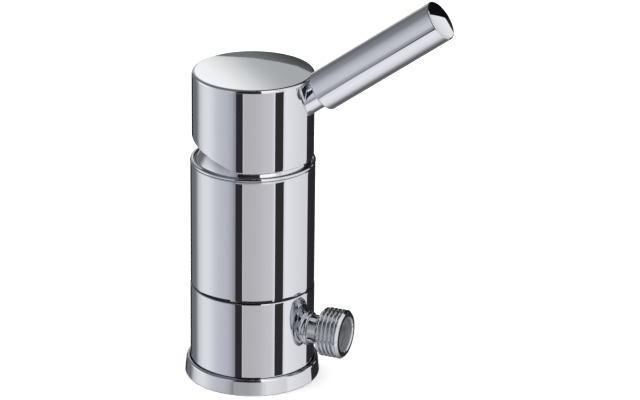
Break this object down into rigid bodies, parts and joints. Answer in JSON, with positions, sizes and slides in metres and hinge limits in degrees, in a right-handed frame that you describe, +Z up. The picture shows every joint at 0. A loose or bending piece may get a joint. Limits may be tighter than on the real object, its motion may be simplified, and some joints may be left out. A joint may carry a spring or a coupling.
{
  "type": "single-lever mixer tap",
  "caption": "Deck-mounted single-lever mixer tap with a cylindrical body, a rod lever and a threaded hose outlet low on its side.",
  "frame": {"origin": "centre of the underside, on the deck plane", "axes": "+Z up the tap's own axis, +X along the hose outlet; at rest the lever stands 4.3 degrees from +X towards +Y"},
  "size_m": [0.1141, 0.0574, 0.1738],
  "materials": {
    "valve_body": "polished chrome plate on brass",
    "base_ring": "polished chrome plate on brass",
    "body_sleeve": "polished chrome plate on brass",
    "hose_outlet": "chrome plate on turned brass, softer in the thread",
    "trim_ring": "polished chrome plate on brass",
    "dome_cover": "polished chrome plate on brass",
    "lever_cap": "polished chrome plate on brass",
    "lever_grip": "polished chrome plate on brass",
    "raw_brass": "turned, uncoated",
    "stainless_steel": "turned stainless steel",
    "seal_rubber": "matt nitrile rubber",
    "black_plastic": "moulded nylon",
    "cartridge_plastic": "moulded engineering plastic",
    "glide_plastic": "moulded acetal",
    "disc_ceramic": "lapped alumina"
  },
  "bodies": {
    "tap_body": {"valve_body": "valve_body", "base_ring": "base_ring", "base_gasket": "seal_rubber", "sleeve_ring": "black_plastic", "body_sleeve": "body_sleeve", "sleeve_o_rings": "seal_rubber", "hose_outlet": "hose_outlet", "outlet_o_ring": "seal_rubber", "trim_ring": "trim_ring", "dome_cover": "dome_cover", "cartridge_base": "cartridge_plastic", "port_seals": "seal_rubber", "disc_seals": "seal_rubber", "fixed_disc": "disc_ceramic", "glide_ring": "glide_plastic", "cartridge_housing": "cartridge_plastic", "retaining_nut": "raw_brass"},
    "mixing_rotor": {"cartridge_rotor": "glide_plastic", "pivot_pin": "stainless_steel"},
    "mixing_disc": {"moving_disc": "disc_ceramic", "disc_carrier": "glide_plastic"},
    "lever": {"cartridge_stem": "raw_brass", "lever_cap": "lever_cap", "stem_screw": "stainless_steel", "lever_stud": "stainless_steel", "lever_grip": "lever_grip"}
  },
  "joints": [
    {"name": "temperature_swivel", "type": "hinge", "parent": "tap_body", "child": "mixing_rotor", "pos_m": [0, 0, 0.087], "axis": [0, 0, 1], "range_deg": [-54.3, 45.7]},
    {"name": "flow_tilt", "type": "hinge", "parent": "mixing_rotor", "child": "lever", "pos_m": [0, 0, 0.087], "axis": [0.075, -0.9972, 0], "range_deg": [0, 20]},
    {"name": "disc_slide", "type": "slide", "parent": "mixing_rotor", "child": "mixing_disc", "axis": [0.9972, 0.075, 0], "range_m": [0, 0.0039]}
  ],
  "couplings": [
    {"joint": "disc_slide", "follows": "flow_tilt", "m_per_rad": 0.01117}
  ]
}
